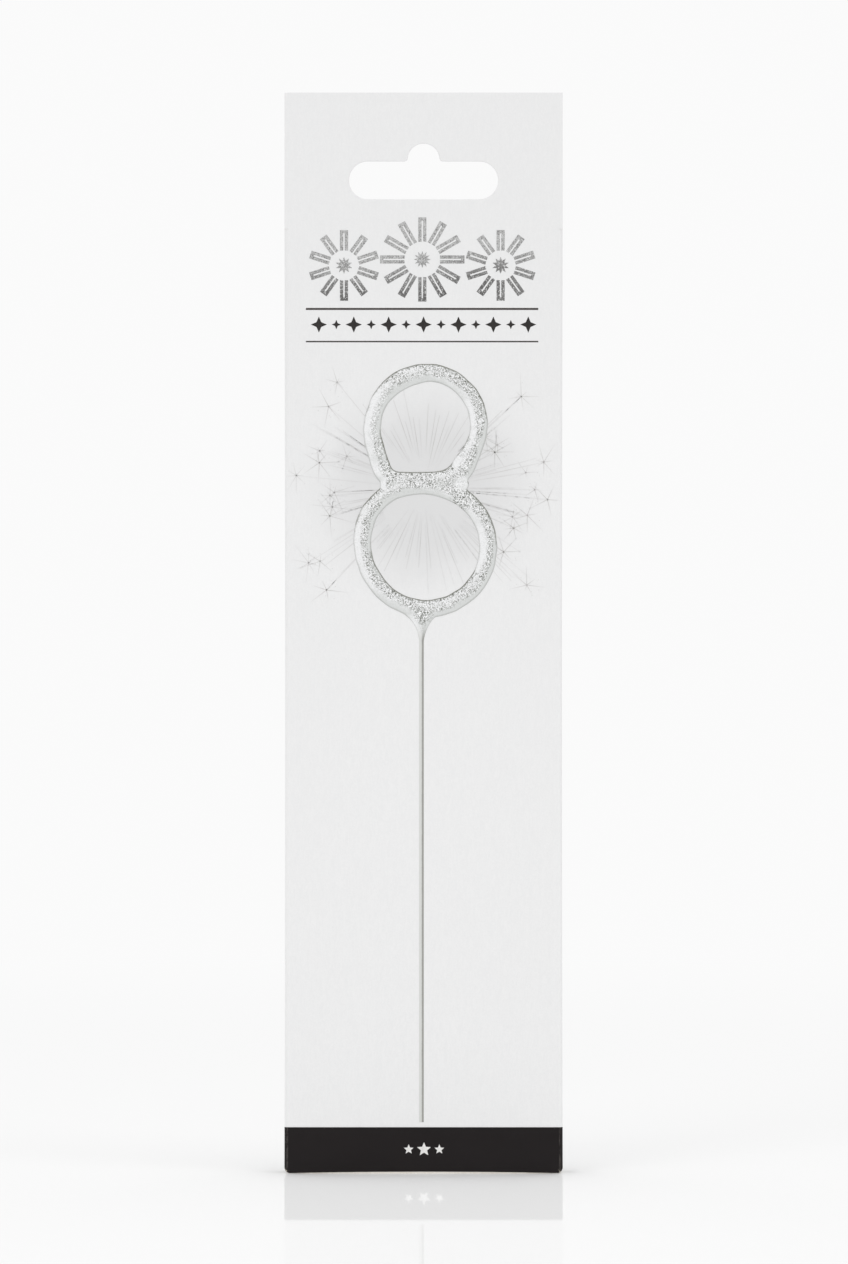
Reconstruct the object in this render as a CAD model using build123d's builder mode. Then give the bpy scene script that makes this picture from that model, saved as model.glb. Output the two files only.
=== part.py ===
from build123d import *
import math
import os

# A numeral sparkler in its hanging card pack: a printed sleeve that lifts off an
# inner tray, and the wire sparkler that the tray holds by two folded tabs.
# The front faces -Y, the pack stands on Z = 0, and the origin is under its middle.

# Driving dimensions, in millimetres

# Sleeve
pack_width = 65.4
pack_depth = 8.0
pack_height = 254.0
board = 0.45
crease_radius = 0.9
header_height = 32.0
glue_flap_width = 12.0
glue_flap_setback = 5.0
glue_flap_taper = 4.0
dust_flap_length = 13.0
dust_flap_corner = 2.5
fold_gap = 0.05
header_inset = 0.3

# Hang slot through both plies of the header
slot_length = 35.0
slot_height = 8.8
slot_drop = 20.6
slot_peak_width = 7.4
slot_peak_rise = 4.2
slot_fillet = 0.9
backing_slot_margin = 0.25

# Print on the sleeve
ink = 0.08
glitter_layer = 0.2
print_gap = 0.02
band_height = 10.9

# Tray
slide_gap = 0.25
tray_headroom = 22.0
tray_corner = 6.0
wall_slope_height = 12.0
wall_slope_depth = 3.5
foot_setback = 0.1
foot_corner = 1.5
tab_width = 12.0
tab_nose = 2.4
tab_corner = 1.5
tab_slit = 0.7
lower_tab_height = 30.0
seat_gap = 0.2
window_margin = 0.15

# Sparkler
wire_diameter = 1.05
wire_gap = 0.06
coat_diameter = 4.2
coat_gap = 0.03
weld_gap = 0.03
stem_tip_height = 12.1
stem_offset = -0.5
numeral_offset = 0.7
lower_loop_bottom = 132.7
lower_loop_radius = 14.5
upper_loop_radius = 12.3
loop_spacing = 28.7
leg_angle = 22.0
foot_radius = 4.8
waist_fillet = 3.0
neck_height = 7.4
neck_width = 10.6
neck_depth = 3.8
neck_overlap = 0.5
neck_skin = 0.1
neck_sections = 6
neck_fillet = 2.0

# Places that follow from them
front_face = -pack_depth / 2
front_inner = front_face + board
back_face = pack_depth / 2
back_inner = back_face - board
side_face = pack_width / 2
side_inner = side_face - board
crease_start = side_face - crease_radius
sleeve_bottom = board
shoulder_height = pack_height - header_height
slot_centre_height = pack_height - slot_drop
slot_top = slot_centre_height + slot_height / 2
print_face = front_face - print_gap

tray_half_width = side_inner - slide_gap
tray_back_face = back_inner - board - slide_gap
tray_card_face = tray_back_face - board
tray_front = front_inner + slide_gap
tray_height = shoulder_height - tray_headroom
wall_top = tray_height - tray_corner

wire_radius = wire_diameter / 2
channel_radius = wire_radius + coat_gap
coat_radius = coat_diameter / 2
sparkler_y = (front_inner + tray_card_face) / 2
lower_loop_height = lower_loop_bottom + lower_loop_radius
upper_loop_height = lower_loop_height + loop_spacing
foot_height = lower_loop_height + lower_loop_radius + wire_diameter + weld_gap
stem_top = lower_loop_bottom - wire_radius - weld_gap
neck_top = lower_loop_bottom - neck_overlap
neck_bottom = neck_top - neck_height
upper_tab_height = neck_bottom - seat_gap
tab_front = sparkler_y - tab_nose
tab_depth = tray_card_face - tab_front
numeral_plane = Plane.XZ.offset(-sparkler_y)

pieces = {}


def round_lower_corners(half_width):
    """Round the two lower corners of the open part, as seen from the front."""
    with BuildSketch(Plane.XZ) as corners:
        with Locations((-half_width, sleeve_bottom), (half_width, sleeve_bottom)):
            Rectangle(2 * crease_radius, 2 * crease_radius)
        arc_centre = (half_width - crease_radius, sleeve_bottom + crease_radius)
        with Locations(arc_centre, (-arc_centre[0], arc_centre[1])):
            Circle(crease_radius, mode=Mode.SUBTRACT)
    extrude(corners.sketch, amount=pack_depth, both=True, mode=Mode.SUBTRACT)


def upper_loop_path():
    """The upper loop's centre line without its foot: an arch on two legs that turn in at the ends."""
    with BuildLine(numeral_plane) as path:
        arch_centre = (numeral_offset, upper_loop_height)
        arch = CenterArc(arch_centre, upper_loop_radius, -leg_angle, 180 + 2 * leg_angle)
        lean = math.radians(leg_angle)
        leg_drop = (arch @ 0).Z - foot_height - foot_radius * (1 - math.sin(lean))
        leg_length = leg_drop / math.cos(lean)
        ends = ((arch @ 0, (arch % 0) * -1, leg_angle - 90), (arch @ 1, arch % 1, 90 - leg_angle))
        for start, heading, turn in ends:
            leg = Line(start, start + heading * leg_length)
            JernArc(leg @ 1, heading, foot_radius, turn)
    return path.wires()[0]


def add_lower_loop(tube_radius, mode=Mode.ADD):
    """A round tube along the lower loop."""
    loop_axis = Axis((numeral_offset, sparkler_y, lower_loop_height), (0, 1, 0))
    with BuildSketch(Plane.XY.offset(lower_loop_height)) as profile:
        with Locations((numeral_offset + lower_loop_radius, sparkler_y)):
            Circle(tube_radius)
    revolve(profile.sketch, axis=loop_axis, mode=mode)


def add_upper_loop(tube_radius, mode=Mode.ADD):
    """A round tube along the upper loop, closed by its straight foot."""
    path = upper_loop_path()
    with BuildSketch(Plane(origin=path @ 0, z_dir=path % 0)) as profile:
        Circle(tube_radius)
    sweep(profile.sketch, path=path, mode=mode)
    extrude(profile.sketch, amount=-(path @ 1 - path @ 0).length, mode=mode)


def add_stem(bottom, top, tube_radius, mode=Mode.ADD):
    """A round bar along the stem."""
    with BuildSketch(Plane.XY.offset(bottom)) as profile:
        with Locations((stem_offset, sparkler_y)):
            Circle(tube_radius)
    extrude(profile.sketch, amount=top - bottom, mode=mode)


def neck_flare(rise, reach):
    """Half the neck's breadth at a rise above its lip, on an arc that starts upright and ends at reach."""
    lip = channel_radius + neck_skin
    spread = reach - lip
    arc_radius = (neck_height**2 + spread**2) / (2 * spread)
    return lip + arc_radius - math.sqrt(arc_radius**2 - rise**2)


# Sleeve: a tube of folded board with a two-ply header

with BuildSketch() as hang_slot:
    with Locations((0, slot_centre_height)):
        SlotOverall(slot_length, slot_height)
    with Locations((0, slot_top + slot_peak_rise - slot_peak_width / 2)):
        Circle(slot_peak_width / 2)
        Rectangle(slot_peak_width, slot_height / 2, align=(Align.CENTER, Align.MAX))
    offset(amount=slot_fillet)
    offset(amount=-slot_fillet)

with BuildPart() as front_panel:
    with BuildSketch(Plane.XZ.offset(-front_inner)):
        with Locations((0, sleeve_bottom)):
            Rectangle(2 * crease_start, pack_height - sleeve_bottom, align=(Align.CENTER, Align.MIN))
        with Locations((0, shoulder_height)):
            Rectangle(pack_width, pack_height - shoulder_height, align=(Align.CENTER, Align.MIN))
        add(hang_slot.sketch, mode=Mode.SUBTRACT)
    extrude(amount=board)
pieces["front_panel"] = front_panel

with BuildPart() as back_panel:
    with BuildSketch(Plane.XZ.offset(-back_face)):
        with Locations((0, sleeve_bottom)):
            Rectangle(2 * crease_start, shoulder_height - sleeve_bottom, align=(Align.CENTER, Align.MIN))
    extrude(amount=board)
pieces["back_panel"] = back_panel

for name, side in (("left", -1), ("right", 1)):
    with BuildPart() as side_panel:
        with BuildSketch(Plane.XY.offset(sleeve_bottom)):
            RectangleRounded(pack_width, pack_depth, crease_radius)
            offset(amount=-board, mode=Mode.SUBTRACT)
            with Locations((side * (side_face - crease_radius / 2), 0)):
                Rectangle(crease_radius, pack_depth, mode=Mode.INTERSECT)
        extrude(amount=shoulder_height - sleeve_bottom)
        round_lower_corners(side_face)
    pieces[f"{name}_side_panel"] = side_panel

    with BuildPart() as dust_flap:
        with BuildSketch(Plane.XY.offset(shoulder_height - fold_gap - board)) as outline:
            with Locations((side * (side_inner - dust_flap_length / 2), 0)):
                Rectangle(dust_flap_length, 2 * (back_face - crease_radius - fold_gap))
            fillet(outline.vertices().sort_by(lambda corner: abs(corner.X))[:2], dust_flap_corner)
        extrude(amount=board)
    pieces[f"{name}_dust_flap"] = dust_flap

with BuildPart() as glue_flap:
    with BuildSketch(Plane.XZ.offset(-back_inner)) as outline:
        with Locations((-crease_start, sleeve_bottom + glue_flap_setback)):
            Rectangle(
                glue_flap_width,
                shoulder_height - sleeve_bottom - 2 * glue_flap_setback,
                align=(Align.MIN, Align.MIN),
            )
        chamfer(outline.vertices().group_by(Axis.X)[-1], glue_flap_taper)
    extrude(amount=board)
pieces["glue_flap"] = glue_flap

with BuildPart() as top_panel:
    with BuildSketch(Plane.XY.offset(shoulder_height)) as outline:
        with Locations((0, front_inner)):
            Rectangle(pack_width, back_face - front_inner, align=(Align.CENTER, Align.MIN))
        fillet(outline.vertices().group_by(Axis.Y)[-1], crease_radius)
    extrude(amount=board)
pieces["top_panel"] = top_panel

with BuildPart() as header_backing:
    with BuildSketch(Plane.XZ.offset(-front_inner - board)):
        with Locations((0, shoulder_height + board)):
            Rectangle(
                pack_width - 2 * header_inset,
                pack_height - header_inset - shoulder_height - board,
                align=(Align.CENTER, Align.MIN),
            )
        add(offset(hang_slot.sketch, backing_slot_margin, mode=Mode.PRIVATE), mode=Mode.SUBTRACT)
    extrude(amount=board)
pieces["header_backing"] = header_backing

with BuildPart() as base_band:
    band_skin = print_gap + ink
    with BuildSketch(Plane.XY.offset(sleeve_bottom)):
        RectangleRounded(pack_width + 2 * band_skin, pack_depth + 2 * band_skin, crease_radius + band_skin)
        RectangleRounded(
            pack_width + 2 * print_gap,
            pack_depth + 2 * print_gap,
            crease_radius + print_gap,
            mode=Mode.SUBTRACT,
        )
    extrude(amount=band_height - sleeve_bottom)
    round_lower_corners(side_face + band_skin)
pieces["base_band"] = base_band

# Tray: a back card with two side walls, a foot that the pack stands on, and two wire tabs

tab_heights = {"upper": upper_tab_height, "lower": lower_tab_height}

with BuildPart() as tray_back:
    with BuildSketch(Plane.XZ.offset(-tray_back_face)) as outline:
        with Locations((0, board)):
            Rectangle(2 * tray_half_width, tray_height - board, align=(Align.CENTER, Align.MIN))
        fillet(outline.vertices().group_by(Axis.Y)[-1], tray_corner)
        for tab_height in tab_heights.values():
            with Locations((stem_offset, tab_height - board)):
                Rectangle(
                    tab_width + 2 * window_margin,
                    tab_depth + window_margin,
                    align=(Align.CENTER, Align.MAX),
                    mode=Mode.SUBTRACT,
                )
    extrude(amount=board)
pieces["tray_back"] = tray_back

with BuildPart() as tray_foot:
    with BuildSketch() as outline:
        with Locations((0, front_face + foot_setback)):
            Rectangle(
                2 * tray_half_width,
                tray_back_face - front_face - foot_setback,
                align=(Align.CENTER, Align.MIN),
            )
        fillet(outline.vertices().group_by(Axis.Y)[0], foot_corner)
    extrude(amount=board)
pieces["tray_foot"] = tray_foot

for name, inner_face in (("left", -tray_half_width), ("right", tray_half_width - board)):
    with BuildPart() as tray_wall:
        with BuildSketch(Plane.YZ.offset(inner_face)):
            with BuildLine():
                Polyline(
                    (tray_card_face, wall_top),
                    (tray_card_face, board),
                    (tray_front, board),
                    (tray_front, wall_top - wall_slope_height),
                    (tray_front + wall_slope_depth, wall_top),
                    close=True,
                )
            make_face()
        extrude(amount=board)
    pieces[f"tray_{name}_wall"] = tray_wall

for name, tab_height in tab_heights.items():
    with BuildPart() as wire_tab:
        with BuildSketch(Plane.XY.offset(tab_height - board)) as outline:
            with Locations((stem_offset, tab_front)):
                Rectangle(tab_width, tab_depth, align=(Align.CENTER, Align.MIN))
            fillet(outline.vertices().group_by(Axis.Y)[0], tab_corner)
            with Locations((stem_offset, sparkler_y)):
                Circle(wire_radius + wire_gap, mode=Mode.SUBTRACT)
                Rectangle(tab_slit, tab_nose, align=(Align.CENTER, Align.MAX), mode=Mode.SUBTRACT)
        extrude(amount=board)
    pieces[f"{name}_wire_tab"] = wire_tab

# Sparkler: a stem and two bent loops of wire, dipped in one coat that runs down in a neck

with BuildPart() as stem_wire:
    add_stem(stem_tip_height, stem_top, wire_radius)
pieces["stem_wire"] = stem_wire

with BuildPart() as lower_loop_wire:
    add_lower_loop(wire_radius)
pieces["lower_loop_wire"] = lower_loop_wire

with BuildPart() as upper_loop_wire:
    add_upper_loop(wire_radius)
pieces["upper_loop_wire"] = upper_loop_wire

with BuildPart() as numeral_form:
    add_lower_loop(coat_radius)
    add_upper_loop(coat_radius)
    fillet(numeral_form.edges().filter_by(GeomType.BSPLINE), waist_fillet)
    for level in range(neck_sections):
        rise = neck_height * level / (neck_sections - 1)
        with BuildSketch(Plane.XY.offset(neck_bottom + rise)):
            with Locations((stem_offset, sparkler_y)):
                Ellipse(neck_flare(rise, neck_width / 2), neck_flare(rise, neck_depth / 2))
    loft()
    fillet(numeral_form.edges(Select.NEW), neck_fillet)

with BuildPart() as sparkler_coating:
    add(numeral_form.part)
    add_lower_loop(channel_radius, mode=Mode.SUBTRACT)
    add_upper_loop(channel_radius, mode=Mode.SUBTRACT)
    add_stem(stem_tip_height, lower_loop_bottom, channel_radius, mode=Mode.SUBTRACT)
pieces["sparkler_coating"] = sparkler_coating

# Glitter print of the sparkler at life size, on the front over the real one

numeral_outline = section(numeral_form.part, section_by=numeral_plane)

with BuildPart() as numeral_print:
    print_shift = Vector(0, print_face - sparkler_y, 0)
    extrude(numeral_outline.moved(Location(print_shift)), amount=glitter_layer, dir=(0, -1, 0))
    with BuildSketch(Plane.XZ.offset(-print_face)):
        with Locations((stem_offset, stem_tip_height)):
            Rectangle(wire_diameter, neck_top - stem_tip_height, align=(Align.CENTER, Align.MIN))
    extrude(amount=glitter_layer)
pieces["numeral_print"] = numeral_print

os.makedirs("parts", exist_ok=True)
for name, piece in pieces.items():
    piece.part.label = name
    export_step(piece.part, f"parts/{name}.step")
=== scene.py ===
import random
from math import asin, atan2, copysign, cos, degrees, exp, pi, radians, sin, sqrt, tan

import bmesh
import bpy
from bmesh import ops
from mathutils import Matrix, Vector, noise


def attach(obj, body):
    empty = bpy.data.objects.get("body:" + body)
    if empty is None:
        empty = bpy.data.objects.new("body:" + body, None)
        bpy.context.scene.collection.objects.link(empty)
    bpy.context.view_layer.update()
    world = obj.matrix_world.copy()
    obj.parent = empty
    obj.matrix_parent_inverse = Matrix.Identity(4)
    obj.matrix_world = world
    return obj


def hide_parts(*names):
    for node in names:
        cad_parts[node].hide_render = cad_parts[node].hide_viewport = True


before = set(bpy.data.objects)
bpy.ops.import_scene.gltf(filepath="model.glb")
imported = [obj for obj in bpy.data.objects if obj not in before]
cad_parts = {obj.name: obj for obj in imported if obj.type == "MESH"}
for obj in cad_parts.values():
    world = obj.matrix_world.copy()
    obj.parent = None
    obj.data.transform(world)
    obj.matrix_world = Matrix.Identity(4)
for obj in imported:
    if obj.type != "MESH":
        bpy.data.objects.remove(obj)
for leftover in ("Cube", "Light", "Camera"):
    if leftover in bpy.data.objects:
        bpy.data.objects.remove(bpy.data.objects[leftover])
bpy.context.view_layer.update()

# A numeral sparkler in its hanging card pack. Pieces are drawn in millimetres, in the
# frame of the CAD, and scaled to metres when they are finished. The front faces -Y.

MM = 0.001
FORWARD = (0, -1, 0)
UP = (0, 0, 1)
ACROSS = (1, 0, 0)
UPRIGHT = Matrix.Rotation(radians(90), 4, "X")
VERT, EDGE = bmesh.types.BMVert, bmesh.types.BMEdge
SNAP = 0.01
MERGE = 0.002

PACK_HALF_WIDTH = 32.7
CREASE_RADIUS = 0.9
CREASE_START = PACK_HALF_WIDTH - CREASE_RADIUS
FRONT, BACK = -4.0, 4.0
BOARD = 0.45
LAP = BOARD + 0.05
SLEEVE_BOTTOM = 0.45
SHOULDER = 222.0
BODY_TOP = SHOULDER + BOARD - CREASE_RADIUS
PACK_TOP = 254.0
HEADER_INSET = 0.3
TOP_FOLD = 0.5
GLUE_FLAP = 12
GLUE_FLAP_SETBACK = 9
DRAW_IN = 0.12
SIDE_DRAW_IN = 0.15
FOOT_BOW = 0.3
FOOT_CORNER = 1.3

BAND_TOP = 10.9
BAND_LIFT = 0.03
BAND_SKIN = 0.02

SLOT_CENTRE = 233.4
SLOT_RADIUS = 4.4
SLOT_RUN = 13.1
PEAK_CENTRE = 238.3
PEAK_RADIUS = 3.7
SLOT_CORNER = 0.9
SLOT_LIP = 0.2
SLOT_PRESS = 0.16
BACKING_SLOT_MARGIN = 0.25

TRAY_HALF_WIDTH = 32.0
TRAY_FOLD = 0.6
TRAY_FLAT = TRAY_HALF_WIDTH - TRAY_FOLD
TRAY_REAR = 2.85
TRAY_FRONT = -3.3
TRAY_TOP = 200.0
TRAY_TOP_CORNER = 5.4
TRAY_FOOT_CORNER = 1.5
TRAY_FOOT_BOW = 0.45
TRAY_FOOT_SETBACK = 0.1
WALL_TOP = 194.0
WALL_SLOPE_DROP = 12.0
WALL_SLOPE_RUN = 3.5
TAB_HEIGHTS = (30.0, 124.6)
TAB_REACH = 5.525
TAB_HALF_WIDTH = 6.15

SPARKLER_Y = -0.575
STEM_X = -0.5
STEM_TIP = 12.1
WIRE_RADIUS = 0.525
COAT_RADIUS = 2.1
NUMERAL_X = 0.7
LOWER_LOOP_Z = 147.2
LOWER_LOOP_RADIUS = 14.5
UPPER_LOOP_Z = 175.9
UPPER_LOOP_RADIUS = 12.3
FOOT_Z = 162.78
FOOT_RADIUS = 4.8
LEG_ANGLE = 22.0
NECK_BOTTOM = 124.8
NECK_TOP = 132.2
NECK_LIP = WIRE_RADIUS + 0.13
NECK_HALF_WIDTH = 5.3
NECK_HALF_DEPTH = 1.9
WAIST_FILL_Z = 161.9
# Fills of the waist's notches: distance from the numeral's middle, and radius
WAIST_FILLS = ((-7.3, 2.0), (8.3, 1.75))

PRINT_FACE = FRONT - 0.02
PRINT_RELIEF = 0.18
BURST_CENTRE = Vector((0.1, 0, 161.0))
GLOW_EDGE, GLOW_CORE = 33.0, 15.0
WAIST_LEAN = 1.65
WAIST_REACH = 13
LEAN_FULL_TO, LEAN_FADE = 1, 11
# Corners where the printed tube is thicker: x, z, heading, reach and amount
THICK_CORNERS = ((7.8, 166.0, (-0.7, 0.7), 4.2, 1.0), (-4.4, 185.4, (0.4, -0.9), 4.5, 0.5))
# Patches of the printed coat: x, z and radius
THROAT_PATCH = (STEM_X + 0.4, NECK_TOP - 0.6, 3.0)
GATHERED_PATCH = (9.0, 158.2, 3.2)
CALM_PATCH = (-10.9, 178.0, 8.5)
GLEAM_PATCH = (8.9, 162.2, 2.4)
RULE_ENDS = (-27.65, 26.95)
# Rules: height and thickness
RULES = ((195.5, 0.34), (203.17, 0.48))
STAR_ROW_Z = 199.5
STAR_PITCH = 4.1
LARGE_STAR, SMALL_STAR = 1.9, 1.1
BAND_STAR_Z = 5.7
# Stars on the band: x and radius
BAND_STARS = ((-3.5, 1.2), (0.1, 1.7), (3.7, 1.2))
# Foil bursts: x, z, radius and strokes
FOIL_BURSTS = ((-0.3, 214.8, 9.9, 12), (-18.7, 213.4, 8.3, 10), (18.1, 213.4, 8.3, 10))
FOIL_BOTTOM, FOIL_TOP = 203.0, 222.0

FIBRE_SCALE = 2.6
STEM_LIGHT = (0.66, 0.665, 0.645)
STEM_SHADE = (0.31, 0.31, 0.29)

BACKDROP = (0.96, 0.96, 0.96, 1)
FLOOR_HALF_WIDTH = 12
# Softboxes: name, place, target, side and power
SOFTBOXES = (
    ("key_softbox", (-1.6, -2.1, 0.8), (0, 0, 0.1), 1.4, 11.2),
    ("fill_softbox", (2.3, -1.35, 0.7), (0, 0, 0.1), 1.2, 8.6),
    ("top_softbox", (0, 0.1, 1.9), (0, 0, 0), 1.6, 7.2),
)
LENS, SENSOR = 150.0, 36.0
PICTURE_HEIGHT = 0.297
CAMERA_X, CAMERA_Z = 0.0001, 0.12726


# Drawing with bmesh


def run(x=0.0, y=0.0, z=0.0, steps=1):
    """A straight move."""
    return {"cent": (0, 0, 0), "axis": UP, "dvec": Vector((x, y, z)) / steps, "angle": 0, "steps": steps}


def bend(centre, axis, degrees, steps):
    """A turn about an axis."""
    return {"cent": centre, "axis": axis, "dvec": (0, 0, 0), "angle": radians(degrees), "steps": steps}


def carry(bm, geometry, *moves):
    """Draws parts of a mesh out along the moves, and gives the last ones."""
    for move in moves:
        geometry = ops.spin(bm, geom=geometry, **move)["geom_last"]
    return geometry


def draw_line(bm, start, *moves):
    """Draws a line from a point or a vertex along the moves, and gives its edges."""
    before = set(bm.edges)
    if not isinstance(start, VERT):
        start = ops.create_vert(bm, co=start)["vert"][0]
    carry(bm, [start], *moves)
    return [edge for edge in bm.edges if edge not in before]


def only(kind, parts):
    return [part for part in parts if isinstance(part, kind)]


def ends_of(edges):
    """The vertices at the ends of edges."""
    return list({vert for edge in edges for vert in edge.verts})


def rightmost(edges):
    """The vertex furthest to the right."""
    return max(ends_of(edges), key=lambda vert: vert.co.x)


def edges_where(bm, test):
    """The edges whose two ends pass a test."""
    return [edge for edge in bm.edges if all(test(vert.co) for vert in edge.verts)]


def open_edges(bm, test):
    """The edges that pass a test and have a face on one side at most."""
    return [edge for edge in edges_where(bm, test) if len(edge.link_faces) < 2]


def faces_where(bm, test):
    """The faces whose middle passes a test."""
    return [face for face in bm.faces if test(face.calc_center_median())]


def delete_faces(bm, test):
    """Takes out the faces that pass a test."""
    ops.delete(bm, geom=faces_where(bm, test), context="FACES")


def near(value, target):
    """Whether two lengths are the same but for rounding."""
    return abs(value - target) < SNAP


def turn_sheet(bm, test, outside):
    """Turns a sheet so that the face that passes a test looks along Y, -1 or 1."""
    ops.recalc_face_normals(bm, faces=bm.faces[:])
    if faces_where(bm, test)[0].normal.y * outside < 0:
        ops.reverse_faces(bm, faces=bm.faces[:])


def slack(z):
    """How free the sleeve is at a height: 0 at its foot and its shoulder, and 1 half-way up."""
    return sin(pi * min(1.0, max(0.0, (z - SLEEVE_BOTTOM) / (SHOULDER - SLEEVE_BOTTOM))))


def draw_in(x, z):
    """How far the front falls back towards its creases."""
    return DRAW_IN * min(1.0, (x / CREASE_START) ** 2) * slack(z)


def relax(bm):
    """Bows the sleeve's front and back between the creases, and draws its sides in."""
    for vert in bm.verts:
        round_crease = max(0.0, (abs(vert.co.x) - CREASE_START) / CREASE_RADIUS)
        vert.co.x -= copysign(SIDE_DRAW_IN * round_crease * slack(vert.co.z), vert.co.x)
        if abs(vert.co.y) > CREASE_RADIUS:
            vert.co.y -= copysign(draw_in(vert.co.x, vert.co.z), vert.co.y)


def round_foot(bm):
    """Bows the sleeve's lower edge, and lifts it round the two bottom corners."""
    for vert in bm.verts:
        if near(vert.co.z, SLEEVE_BOTTOM):
            width = abs(vert.co.x)
            past = max(0, min(width - PACK_HALF_WIDTH + FOOT_CORNER, FOOT_CORNER))
            vert.co.z -= FOOT_BOW * min(1, width / CREASE_START) ** 2
            vert.co.z += FOOT_CORNER - sqrt(FOOT_CORNER**2 - past**2)


def new_object(name, bm):
    """Makes a bmesh into an object in the scene."""
    mesh = bpy.data.meshes.new(name)
    bm.to_mesh(mesh)
    bm.free()
    made = bpy.data.objects.new(name, mesh)
    bpy.context.scene.collection.objects.link(made)
    return made


def applied_mesh(piece, modifiers):
    """A mesh of the piece with modifiers of the named kinds applied."""
    for kind, settings in modifiers:
        modifier = piece.modifiers.new(kind.lower(), kind)
        for field, value in settings.items():
            setattr(modifier, field, value)
    depsgraph = bpy.context.evaluated_depsgraph_get()
    return bpy.data.meshes.new_from_object(piece.evaluated_get(depsgraph))


def finish_piece(name, bm, body, materials, replaces=(), modifiers=(), sharp=35):
    """Makes a bmesh in millimetres into a piece in metres that rides on a body."""
    ops.scale(bm, vec=(MM, MM, MM), verts=bm.verts[:])
    piece = new_object(name, bm)
    for material in materials:
        piece.data.materials.append(material)
    if modifiers:
        piece.data = applied_mesh(piece, modifiers)
        piece.modifiers.clear()
    piece.data.polygons.foreach_set("use_smooth", [True] * len(piece.data.polygons))
    piece.data.set_sharp_from_angle(angle=radians(sharp))
    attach(piece, body)
    if replaces:
        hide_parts(*replaces)


def board_thickness(thickness=BOARD):
    """A wall of board inside the drawn sheet, with the second material on its inside and cut edges."""
    inside = {"offset": -1, "use_even_offset": True, "material_offset": 1, "material_offset_rim": 1}
    return ("SOLIDIFY", {"thickness": thickness * MM, **inside})


# Nodes


def set_inputs(made, inputs):
    """Gives the sockets of a node values or links."""
    for socket, value in inputs.items():
        if isinstance(value, bpy.types.NodeSocket):
            made.id_data.links.new(value, made.inputs[socket])
        else:
            made.inputs[socket].default_value = value


def node(tree, kind, inputs=None, **settings):
    """Adds a shader node, sets its fields, and gives its sockets values or links."""
    made = tree.nodes.new("ShaderNode" + kind)
    for field, value in settings.items():
        setattr(made, field, value)
    set_inputs(made, inputs or {})
    return made


def maths(operation, first, second=0.0, clamp=False):
    """A sum on one or two values."""
    settings = {"operation": operation, "use_clamp": clamp}
    return node(first.id_data, "Math", {0: first, 1: second}, **settings).outputs[0]


def add(first, second):
    return maths("ADD", first, second)


def multiply(first, second):
    return maths("MULTIPLY", first, second)


def vector_maths(operation, first, second=(0, 0, 0), output="Vector", **inputs):
    """A sum on one or two vectors."""
    inputs = {0: first, 1: second, **inputs}
    return node(first.id_data, "VectorMath", inputs, operation=operation).outputs[output]


def length_of(vector):
    return vector_maths("LENGTH", vector, output="Value")


def turned_to(normal, direction):
    """How far a normal is turned to a direction."""
    return vector_maths("DOT_PRODUCT", normal, Vector(direction).normalized(), output="Value")


def ramp(value, low, high):
    """0 below low, 1 above high and smooth between, or the other way round."""
    inputs = {"Value": value, "From Min": low, "From Max": high}
    return node(value.id_data, "MapRange", inputs, interpolation_type="SMOOTHSTEP").outputs[0]


def between(value, low, high):
    """From low to high as a value goes from 0 to 1."""
    inputs = {"Value": value, "To Min": low, "To Max": high}
    return node(value.id_data, "MapRange", inputs).outputs[0]


def blend(mask, first, second):
    """The first colour where the mask is 0, the second where it is 1."""
    first, second = ((*colour, 1) if isinstance(colour, tuple) else colour for colour in (first, second))
    return node(mask.id_data, "Mix", {0: mask, 6: first, 7: second}, data_type="RGBA").outputs[2]


def noise_texture(place, scale, detail=2, distortion=0.0):
    """A smooth noise with so many features per millimetre."""
    inputs = {"Vector": place, "Scale": scale, "Detail": detail, "Distortion": distortion}
    return node(place.id_data, "TexNoise", inputs).outputs[0]


def attribute(tree, name, output):
    """A value that the piece's mesh carries."""
    return node(tree, "Attribute", attribute_name=name).outputs[output]


def place_in_mm(tree):
    """The place on the piece in millimetres."""
    return vector_maths("SCALE", node(tree, "TexCoord").outputs["Object"], Scale=1 / MM)


def axis_of(vector, name):
    return node(vector.id_data, "SeparateXYZ", {0: vector}).outputs[name]


def bump(height, depth, strength=0.5, **inputs):
    """The normal of a surface raised by a height map whose full range is depth millimetres."""
    inputs.update({"Height": height, "Distance": depth * MM, "Strength": strength})
    return node(height.id_data, "Bump", inputs).outputs[0]


def new_material(name):
    """A material with a Principled BSDF, and its node tree."""
    material = bpy.data.materials.new(name)
    material.use_nodes = True
    return material, material.node_tree


def dress(material, **inputs):
    """Gives the sockets of a material's Principled BSDF values or links."""
    sockets = {socket.replace("_", " "): value for socket, value in inputs.items()}
    set_inputs(material.node_tree.nodes["Principled BSDF"], sockets)
    return material


def new_group(name, inputs, outputs):
    """An empty node group with float inputs and its named outputs, and the values given to it."""
    group = bpy.data.node_groups.new(name, "ShaderNodeTree")
    for socket, value in inputs.items():
        made = group.interface.new_socket(socket, in_out="INPUT", socket_type="NodeSocketFloat")
        made.default_value = value
    for socket, kind in outputs.items():
        group.interface.new_socket(socket, in_out="OUTPUT", socket_type="NodeSocket" + kind)
    return group, group.nodes.new("NodeGroupInput").outputs


def give(group, *values):
    """Links values to the outputs of a node group, in their order."""
    set_inputs(group.nodes.new("NodeGroupOutput"), dict(enumerate(values)))
    return group


def place_group(tree, group, inputs=None):
    """Places a node group in a material, with the material's own values."""
    return node(tree, "Group", inputs, node_tree=group).outputs


# Materials


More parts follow.
